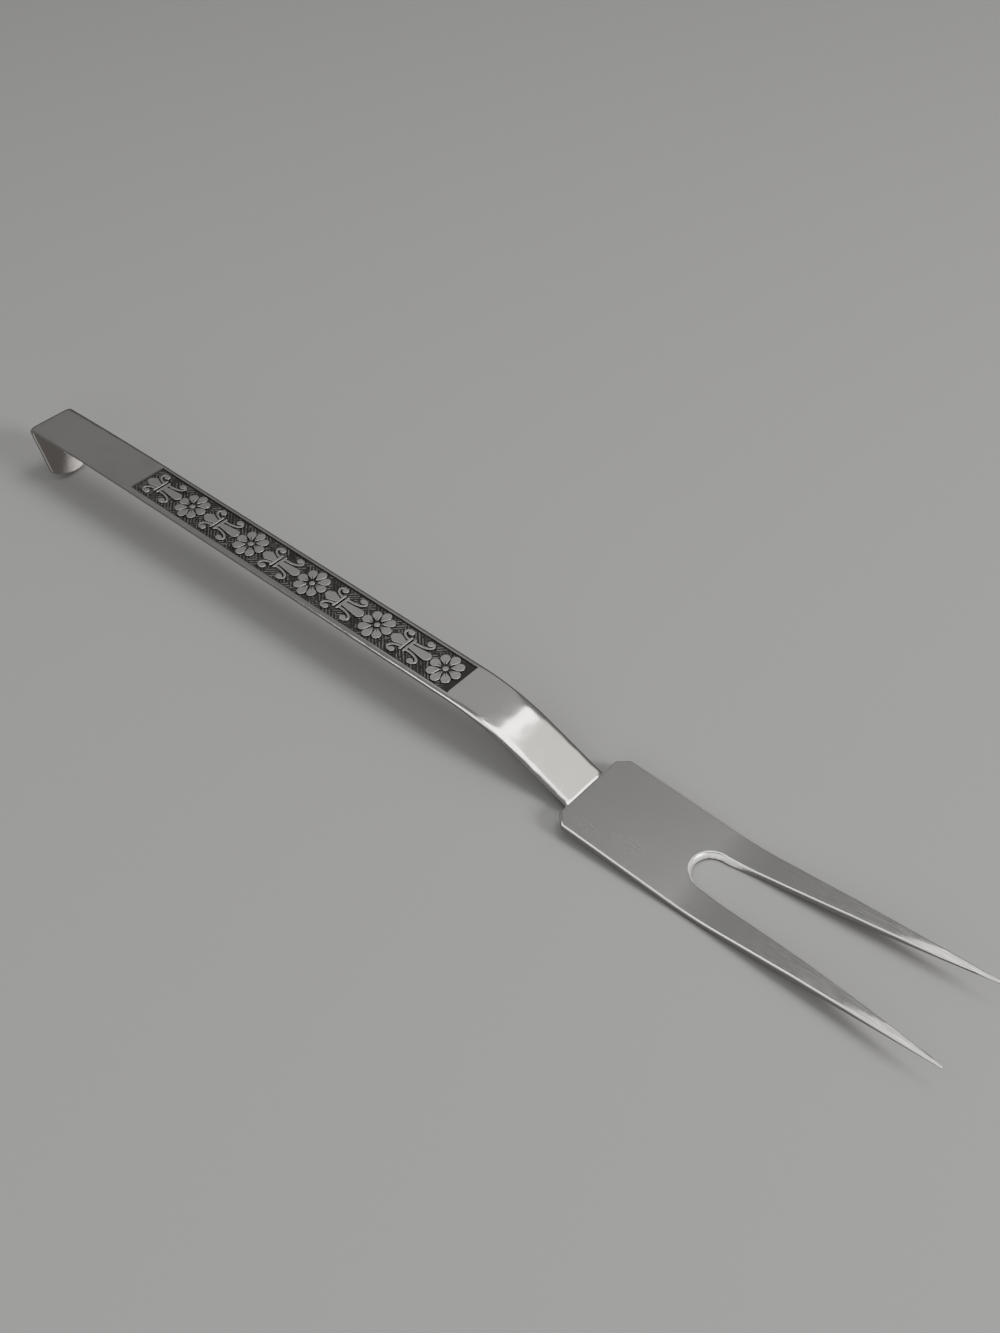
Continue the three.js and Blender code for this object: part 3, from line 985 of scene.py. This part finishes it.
# %% [markdown]
# ## Finishes
# Stainless steel is one metal with several finishes: polished on the strap, satin on the plate, ground on
# the tines, and blackened in the panel's ground. All are built from nodes that read the place on the piece
# and the way it faces, so no pictures are needed. These helpers add a node and give its output back.

# %% Helpers for node trees
def feed(tree, socket, value):
    """Links a socket to another one, or sets it to a plain value."""
    if isinstance(value, bpy.types.NodeSocket):
        tree.links.new(value, socket)
    else:
        socket.default_value = value


def add(tree, kind, inputs, **settings):
    """Adds a shader node, sets its options and feeds its inputs by name or number."""
    node = tree.nodes.new("ShaderNode" + kind)
    for name, value in settings.items():
        setattr(node, name, value)
    for name, value in inputs.items():
        feed(tree, node.inputs[name], value)
    return node


def work(tree, operation, *values):
    """The result of a Math node."""
    return add(tree, "Math", dict(enumerate(values)), operation=operation).outputs[0]


def times(tree, product, *values):
    """The product of two or more values."""
    for value in values:
        product = work(tree, "MULTIPLY", product, value)
    return product


def ramp(tree, value, zero_at, one_at):
    """A soft step from 0 to 1 between two values, which may fall as well as rise."""
    ends = {"Value": value, "From Min": zero_at, "From Max": one_at}
    return add(tree, "MapRange", ends, interpolation_type="SMOOTHSTEP").outputs["Result"]


def blend(tree, share, first, second):
    """A value that goes from the first to the second as a share goes from 0 to 1."""
    return add(tree, "Mix", {"Factor": share, "A": first, "B": second}).outputs["Result"]


def tint(tree, share, first, second):
    """A colour that goes from the first to the second as a share goes from 0 to 1."""
    node = add(tree, "Mix", {0: share, 6: first, 7: second}, data_type="RGBA")
    return node.outputs[2]


print("helpers ready: add, work, times, ramp, blend and tint")

# %% [markdown]
# Three effects turn up on more than one finish: fine lines from polishing along the piece, a haze where
# hands have touched it, and a few stray scratches. Each is a node group with its own inputs, made once.

# %% Helpers for groups
LINE_DETAIL = 2
LINE_ROUGHNESS = 0.65


def new_group(name, numbers, output):
    """An empty group that takes a place and some numbers and puts out one value."""
    tree = bpy.data.node_groups.new(name, "ShaderNodeTree")
    tree.interface.new_socket("Spot", in_out="INPUT", socket_type="NodeSocketVector")
    for number in numbers:
        tree.interface.new_socket(number, in_out="INPUT", socket_type="NodeSocketFloat")
    tree.interface.new_socket(output, in_out="OUTPUT", socket_type="NodeSocketFloat")
    return tree, tree.nodes.new("NodeGroupInput").outputs, tree.nodes.new("NodeGroupOutput").inputs[output]


def stretched(tree, spot, along, across):
    """A place measured in its own units along and across the piece."""
    units = add(tree, "CombineXYZ", {"X": along, "Y": across, "Z": across}).outputs[0]
    return add(tree, "VectorMath", {0: spot, 1: units}, operation="DIVIDE").outputs[0]


def noise(tree, spot, detail=0):
    settings = {"Vector": spot, "Scale": 1, "Detail": detail, "Roughness": LINE_ROUGHNESS}
    return add(tree, "TexNoise", settings).outputs["Fac"]


polish_lines, given, result = new_group("polish_lines", ["Length", "Width"], "Lines")
drawn_out = stretched(polish_lines, given["Spot"], given["Length"], given["Width"])
feed(polish_lines, result, noise(polish_lines, drawn_out, LINE_DETAIL))
print("group", polish_lines.name, "puts out", result.name)

# %% Handling haze and stray scratches
HAZE_DETAIL = 2
HAZE_RANGE = (0.45, 0.7)
SCRATCH_LENGTH = 16 * MM
SCRATCH_GAP = 5 * MM
SCRATCH_HALF = 0.016
SCRATCH_REACH = 0.35
SCRATCH_SHARE = 0.22
UP = (0, 0, 1)

handling_haze, given, result = new_group("handling_haze", ["Size"], "Haze")
scaled = stretched(handling_haze, given["Spot"], given["Size"], given["Size"])
cloud = noise(handling_haze, scaled, HAZE_DETAIL)
feed(handling_haze, result, ramp(handling_haze, cloud, *HAZE_RANGE))

stray_scratches, given, result = new_group("stray_scratches", ["Turn"], "Scratch")
tree = stray_scratches
turned = add(tree, "VectorRotate", {"Vector": given["Spot"], "Axis": UP, "Angle": given["Turn"]}).outputs[0]
scaled = stretched(tree, turned, SCRATCH_LENGTH, SCRATCH_GAP)
cells = add(tree, "TexVoronoi", {"Vector": scaled, "Scale": 1}, voronoi_dimensions="2D").outputs
offset = add(tree, "VectorMath", {0: scaled, 1: cells["Position"]}, operation="SUBTRACT").outputs[0]
along, across, _ = add(tree, "SeparateXYZ", {0: offset}).outputs
thin = ramp(tree, work(tree, "ABSOLUTE", across), SCRATCH_HALF, 0)
short = ramp(tree, work(tree, "ABSOLUTE", along), SCRATCH_REACH, 0)
chance = add(tree, "SeparateColor", {0: cells["Color"]}).outputs[0]
chosen = work(tree, "LESS_THAN", chance, SCRATCH_SHARE)
feed(tree, result, times(tree, thin, short, chosen))
print("groups", handling_haze.name, "and", stray_scratches.name)

# %% [markdown]
# A finish starts as a new material whose shader is plain metal. Its roughness is never one number: the
# fine lines, the haze and the scratches all change it a little from place to place.

# %% Helpers for a metal finish
HAZE_SIZE = 22 * MM
SCRATCH_TURNS = (0.35, -0.6, 1.3)


def new_finish(name):
    """A metal material, with its node tree, its shader and the place on the piece."""
    finish = bpy.data.materials.new(name)
    finish.use_nodes = True
    tree = finish.node_tree
    shader = tree.nodes["Principled BSDF"]
    shader.inputs["Metallic"].default_value = 1
    spot = tree.nodes.new("ShaderNodeTexCoord").outputs["Object"]
    return finish, tree, shader, spot


def use_group(tree, group, **inputs):
    """Places a group in a tree and gives its output back."""
    node = add(tree, "Group", {}, node_tree=group)
    for name, value in inputs.items():
        feed(tree, node.inputs[name], value)
    return node.outputs[0]


def all_scratches(tree, spot):
    """Stray scratches in a few directions, as one mask."""
    mask = 0
    for turn in SCRATCH_TURNS:
        mask = work(tree, "MAXIMUM", mask, use_group(tree, stray_scratches, Spot=spot, Turn=turn))
    return mask


print("scratch directions:", len(SCRATCH_TURNS))


# %% Helpers for colour, roughness and relief
def facing_of(tree):
    """The X, Y and Z of the way the surface faces."""
    way = tree.nodes.new("ShaderNodeTexCoord").outputs["Normal"]
    return add(tree, "SeparateXYZ", {0: way}).outputs


def heaped(tree, layers):
    """The height of some layers of relief, each a share and the depth that it is a share of."""
    height = 0
    for share, depth in layers:
        height = work(tree, "MULTIPLY_ADD", share, depth, height)
    return height


def dress(tree, shader, colour, roughness, height):
    """Feeds a shader its colour and roughness, and a height in metres through a Bump node."""
    bump = add(tree, "Bump", {"Height": height, "Distance": 1})
    values = {"Base Color": colour, "Roughness": roughness, "Normal": bump.outputs[0]}
    for name, value in values.items():
        feed(tree, shader.inputs[name], value)


def put_on(piece, finish):
    piece.data.materials.clear()
    piece.data.materials.append(finish)


print("helpers ready: facing_of, heaped, dress and put_on")

# %% [markdown]
# ## The strap's finish
# The panel's ground is blackened and its raised forms are rubbed clean. A mask finds the ground by its
# place: a Mapping node lays the panel's own axes on it, and then anything below the rims is ground.

# %% Panel ground mask
WALL_FALL = (0.37 * MM, 0.28 * MM)
MASK_EDGE = 0.1 * MM

strap_steel, tree, shader, spot = new_finish("strap_steel")
panel_up = Vector((math.sin(PANEL_SLOPE), 0, math.cos(PANEL_SLOPE)))
panel_origin = panel_front + panel_up * panel_floor
to_panel = {"Vector": spot, "Location": panel_origin, "Rotation": (0, PANEL_SLOPE, 0)}
panel_spot = add(tree, "Mapping", to_panel, vector_type="TEXTURE").outputs[0]
panel_x, panel_y, panel_z = add(tree, "SeparateXYZ", {0: panel_spot}).outputs

panel_middle = work(tree, "ADD", panel_x, PANEL_LENGTH / 2)
from_ends = work(tree, "SUBTRACT", PANEL_LENGTH / 2, work(tree, "ABSOLUTE", panel_middle))
from_sides = work(tree, "SUBTRACT", PANEL_HALF, work(tree, "ABSOLUTE", panel_y))
from_rim = work(tree, "MINIMUM", from_ends, from_sides)
in_panel = ramp(tree, from_rim, -MASK_EDGE, 0)
in_panel = times(tree, in_panel, ramp(tree, panel_z, -2 * MASK_EDGE, -MASK_EDGE))
wall = ramp(tree, from_rim, PANEL_WALL + MASK_EDGE, PANEL_WALL)
low = work(tree, "MAXIMUM", wall, ramp(tree, panel_z, *WALL_FALL))
ground = times(tree, in_panel, low)
print("panel origin at", in_mm(panel_origin), "mm")

# %% [markdown]
# The strap's underside was never polished. It is found by the way its surface faces: downwards along the
# handle, and towards the tines on the inner face of the hook's tongue, which is the same side of the strip.
# The strip's cut sides are dull, and they are found in the same way. Their darker colour is partly the
# dull cut and partly painted shade, for the shaded table that they mirror.

# %% Underside and side masks
FACING_DOWN = (-0.3, -0.6)
FACING_TINES = (0.55, 0.75)
FACING_SIDE = (0.90, 0.98)

facing = facing_of(tree)
downwards = ramp(tree, facing["Z"], *FACING_DOWN)
tongue_inside = ramp(tree, facing["X"], *FACING_TINES)
underside = work(tree, "MAXIMUM", downwards, tongue_inside)
side = ramp(tree, work(tree, "ABSOLUTE", facing["Y"]), *FACING_SIDE)
print("underside mask from", len(tree.nodes), "nodes so far")

# %% [markdown]
# The ground is hatched by short slanting strokes, in patches that lean one way or the other. A sine of the
# slanting distance gives the lines, and Voronoi cells choose how each patch leans and how much it was
# rubbed bright. Close round the motifs the ground gets painted shade: an ambient occlusion node finds where
# it is enclosed, and the colour is darkened there.

# %% Hatched ground
HATCH_PITCH = 0.9 * MM
HATCH_WOBBLE = 0.5 * MM
WOBBLE_SIZE = 2 * MM
PATCH_SIZE = 2.6 * MM
PATCH_SPLIT = 0.45
RUBBED_RANGE = (-0.2, 0.6)
STROKE_SIZE = 1.1 * MM
STROKE_RANGE = (0.25, 0.52)
HATCH_RANGE = (-0.2, 0.8)
HATCH_MARGIN = 0.4 * MM
HATCH_FRONT = (-1.5 * MM, -5 * MM)
# Reach and range of the painted shade close round the motifs.
CREASE_SHADE_REACH = 0.7 * MM
CREASE_SHADE_RANGE = (0.9, 0.5)

wobble_noise = noise(tree, stretched(tree, panel_spot, WOBBLE_SIZE, WOBBLE_SIZE))
wobble = times(tree, wobble_noise, HATCH_WOBBLE)


def hatch(operation):
    """Slanting lines, from the sum or the difference of the places along and across the panel."""
    slant = work(tree, "ADD", work(tree, operation, panel_x, panel_y), wobble)
    turns = times(tree, slant, 2 * math.pi / (HATCH_PITCH * math.sqrt(2)))
    return ramp(tree, work(tree, "SINE", turns), *HATCH_RANGE)


patches = add(tree, "TexVoronoi", {"Vector": panel_spot, "Scale": 1 / PATCH_SIZE}).outputs["Color"]
chances = add(tree, "SeparateColor", {0: patches}).outputs
patch = work(tree, "LESS_THAN", chances[0], PATCH_SPLIT)
hatching = blend(tree, patch, hatch("ADD"), hatch("SUBTRACT"))
stroke_noise = noise(tree, stretched(tree, panel_spot, STROKE_SIZE, STROKE_SIZE))
stroke = ramp(tree, stroke_noise, *STROKE_RANGE)
rubbed = times(tree, ramp(tree, chances[1], *RUBBED_RANGE), stroke)
floor_only = ramp(tree, from_rim, PANEL_WALL, PANEL_WALL + HATCH_MARGIN)
floor_only = times(tree, floor_only, ramp(tree, panel_x, *HATCH_FRONT))
bright_hatch = times(tree, hatching, rubbed, floor_only)
# Painted shade: the ambient occlusion node darkens the ground where the motifs enclose it.
open_sky = add(tree, "AmbientOcclusion", {"Distance": CREASE_SHADE_REACH}, only_local=True).outputs["AO"]
painted_crease_shade = ramp(tree, open_sky, *CREASE_SHADE_RANGE)
print("hatch lines every", in_mm([HATCH_PITCH]), "mm")

# %% [markdown]
# Then colour, roughness and relief come together. The relief is a Bump node with heights in metres, so the
# numbers are the true depths: a wave in the polish, the fine lines, the scratches and the hatching.

# %% Strap colour, roughness and relief
STEEL = (0.60, 0.59, 0.57, 1)
STEEL_TOUCHED = (0.55, 0.54, 0.515, 1)
FORM_STEEL = (0.44, 0.432, 0.42, 1)
BLACKENED = (0.06, 0.057, 0.055, 1)
BLACKENED_RIDGE = (0.25, 0.242, 0.235, 1)
# Colour of the painted shade close round the motifs.
CREASE_SHADE_BLACK = (0.02, 0.0195, 0.019, 1)
UNPOLISHED = (0.44, 0.412, 0.392, 1)
# Colour of the cut sides and upright walls: partly a dull cut, partly painted shade.
DULL_SIDE_AND_SHADE = (0.28, 0.27, 0.26, 1)
POLISHED = 0.10
POLISHED_WORN = 0.17
DULL_ROUGHNESS = 0.36
FORM_ROUGHNESS = 0.4
GROUND_ROUGHNESS = 0.5
SCRATCH_ROUGHNESS = 0.12
STRAP_LINE_LENGTH = 24 * MM
STRAP_LINE_WIDTH = 0.16 * MM
LINE_DEPTH = 0.0005 * MM
SCRATCH_DEPTH = 0.004 * MM
WAVE_SIZE = 4.5 * MM
WAVE_DEPTH = 0.07 * MM
HATCH_DEPTH = 0.08 * MM
EVEN_SHARE = 0.5

strap_lines = use_group(tree, polish_lines, Spot=spot, Length=STRAP_LINE_LENGTH, Width=STRAP_LINE_WIDTH)
strap_haze = use_group(tree, handling_haze, Spot=spot, Size=HAZE_SIZE)
strap_scratch = all_scratches(tree, spot)
wave = noise(tree, stretched(tree, spot, WAVE_SIZE, WAVE_SIZE))

polished = tint(tree, strap_haze, STEEL, STEEL_TOUCHED)
# The cut sides take the darker colour, which is partly painted shade.
clean = tint(tree, side, tint(tree, underside, polished, UNPOLISHED), DULL_SIDE_AND_SHADE)
clean = tint(tree, in_panel, clean, FORM_STEEL)
# The ground's colour: the blackened patina with lighter rubbed ridges, and painted shade round the motifs.
ground_colour = tint(tree, painted_crease_shade, tint(tree, bright_hatch, BLACKENED, BLACKENED_RIDGE), CREASE_SHADE_BLACK)
strap_colour = tint(tree, ground, clean, ground_colour)

worn = blend(tree, EVEN_SHARE, strap_lines, strap_haze)
polish = blend(tree, worn, POLISHED, POLISHED_WORN)
polish = blend(tree, work(tree, "MAXIMUM", underside, side), polish, DULL_ROUGHNESS)
polish = blend(tree, in_panel, polish, FORM_ROUGHNESS)
scratched = work(tree, "MULTIPLY_ADD", strap_scratch, SCRATCH_ROUGHNESS, polish)
rough = blend(tree, ground, scratched, GROUND_ROUGHNESS)

cut_lines = times(tree, hatching, ground, floor_only)
layers = [(wave, WAVE_DEPTH), (strap_lines, LINE_DEPTH), (strap_scratch, -SCRATCH_DEPTH)]
relief = heaped(tree, layers + [(cut_lines, HATCH_DEPTH)])
dress(tree, shader, strap_colour, rough, relief)
put_on(strap, strap_steel)
print("strap finish:", len(tree.nodes), "nodes")

# %% [markdown]
# ## The head's finish
# The plate is satin, so it shows no clear reflections. Towards the points a belt has ground the tines
# lengthwise, and left long bright and dark streaks. The streaks fade in along the tines. The ground facets
# and points get a near-white colour, partly the fresh grind and partly a painted highlight that grows
# towards the tips. The eased edges are partly burnished and partly a painted highlight, and the upright
# walls are dull, with painted shade in their darker colour.

# %% Head masks
SATIN_LINE_LENGTH = 14 * MM
SATIN_LINE_WIDTH = 0.55 * MM
BELT_LINE_LENGTH = 60 * MM
BELT_LINE_WIDTH = 0.3 * MM
BELT_FADE = (100 * MM, 135 * MM)
STREAK_RANGE = (0.35, 0.65)
WALL_FACING = (0.42, 0.2)
LEANING_FACING = (0.8, 0.65)
# The eased-edge mask picks the rounded edges for a colour that is partly burnish, partly a painted highlight.
EDGE_FACING = (0.98, 0.9)
FACET_FACING = (-0.03, -0.08)
FACET_FADE = (132 * MM, 150 * MM)
# The tip ramp paints a highlight that grows towards the points.
TIP_HIGHLIGHT_FADE = (138 * MM, 160 * MM)
TIP_HIGHLIGHT_SHARE = 0.5

head_steel, tree, shader, spot = new_finish("head_steel")
place = add(tree, "SeparateXYZ", {0: spot}).outputs
belt = ramp(tree, place["X"], *BELT_FADE)
belt_noise = use_group(tree, polish_lines, Spot=spot, Length=BELT_LINE_LENGTH, Width=BELT_LINE_WIDTH)
streak = ramp(tree, belt_noise, *STREAK_RANGE)
satin_lines = use_group(tree, polish_lines, Spot=spot, Length=SATIN_LINE_LENGTH, Width=SATIN_LINE_WIDTH)
head_haze = use_group(tree, handling_haze, Spot=spot, Size=HAZE_SIZE)
head_scratch = all_scratches(tree, spot)

facing = facing_of(tree)
upright = ramp(tree, facing["Z"], *WALL_FACING)
leaning = ramp(tree, facing["Z"], *LEANING_FACING)
eased = ramp(tree, facing["Z"], *EDGE_FACING)
facet = times(tree, ramp(tree, facing["Y"], *FACET_FACING), ramp(tree, place["X"], *FACET_FADE))
point = times(tree, ramp(tree, place["X"], *TIP_HIGHLIGHT_FADE), TIP_HIGHLIGHT_SHARE)
facet = work(tree, "MAXIMUM", facet, point)
print("head masks from", len(tree.nodes), "nodes")

# %% Head colour, roughness and relief
SATIN = (0.375, 0.372, 0.366, 1)
SATIN_TOUCHED = (0.35, 0.347, 0.341, 1)
STREAK_DARK = (0.33, 0.328, 0.322, 1)
STREAK_LIGHT = (0.45, 0.447, 0.44, 1)
# Near-white colour of the facets and points: partly the fresh grind, partly a painted highlight.
GRIND_AND_HIGHLIGHT = (0.95, 0.935, 0.92, 1)
# Colour of the eased edges: partly burnish, partly a painted highlight.
BURNISH_AND_HIGHLIGHT = (0.85, 0.845, 0.835, 1)
STREAK_DIM = 0.35
SCRATCH_SHINE = 0.2
SATIN_ROUGHNESS = 0.23
SATIN_WORN = 0.29
BELT_SMOOTH = 0.42
BELT_ROUGH = 0.58
LEANING_ROUGHNESS = 0.45
SATIN_DEPTH = 0.0004 * MM
BELT_DEPTH = 0.004 * MM

satin = tint(tree, head_haze, SATIN, SATIN_TOUCHED)
satin = tint(tree, belt, satin, tint(tree, streak, STREAK_DARK, STREAK_LIGHT))
# The facets and the tip ramp carry the painted highlight into the colour.
bright = times(tree, facet, blend(tree, streak, STREAK_DIM, 1))
marked = work(tree, "MAXIMUM", bright, times(tree, head_scratch, SCRATCH_SHINE))
# Eased edges take the burnish colour, which is partly a painted highlight.
top_colour = tint(tree, eased, tint(tree, marked, satin, GRIND_AND_HIGHLIGHT), BURNISH_AND_HIGHLIGHT)
# The head's upright walls take the same colour, partly a dull cut and partly painted shade.
head_colour = tint(tree, upright, top_colour, DULL_SIDE_AND_SHADE)

worn = blend(tree, EVEN_SHARE, satin_lines, head_haze)
satin_rough = blend(tree, worn, SATIN_ROUGHNESS, SATIN_WORN)
belt_rough = blend(tree, streak, BELT_ROUGH, BELT_SMOOTH)
rough = blend(tree, facet, satin_rough, belt_rough)
rough = blend(tree, leaning, rough, LEANING_ROUGHNESS)

belt_lines = times(tree, belt_noise, belt)
layers = [(satin_lines, SATIN_DEPTH), (head_scratch, -SCRATCH_DEPTH), (belt_lines, BELT_DEPTH)]
dress(tree, shader, head_colour, rough, heaped(tree, layers))
put_on(head, head_steel)
print("head finish:", len(tree.nodes), "nodes")

# %% [markdown]
# ## The welds
# Two spots of fused metal fill the lap. Hardly any of them shows, so their solids stay as they are and
# get a dull finish with the fine lumps of metal that has run.

# %% Weld finish
FUSED = (0.42, 0.41, 0.39, 1)
FUSED_DARK = (0.27, 0.26, 0.25, 1)
FUSED_ROUGHNESS = 0.5
FUSED_ROUGHEST = 0.7
LUMP_SIZE = 0.5 * MM
LUMP_DEPTH = 0.03 * MM

weld_steel, tree, shader, spot = new_finish("weld_steel")
lumps = noise(tree, stretched(tree, spot, LUMP_SIZE, LUMP_SIZE), HAZE_DETAIL)
weld_colour = tint(tree, lumps, FUSED_DARK, FUSED)
weld_rough = blend(tree, lumps, FUSED_ROUGHEST, FUSED_ROUGHNESS)
dress(tree, shader, weld_colour, weld_rough, heaped(tree, [(lumps, LUMP_DEPTH)]))
for name in ("spot_weld_left", "spot_weld_right"):
    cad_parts[name].material_slots[0].material = weld_steel
print("weld finish on two spots")

# %% [markdown]
# ## The measured box
# The box of the finished model, floor aside, is measured and printed in millimetres.

# %% Measure the box
low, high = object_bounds()
print("visual box in mm", in_mm(high - low))
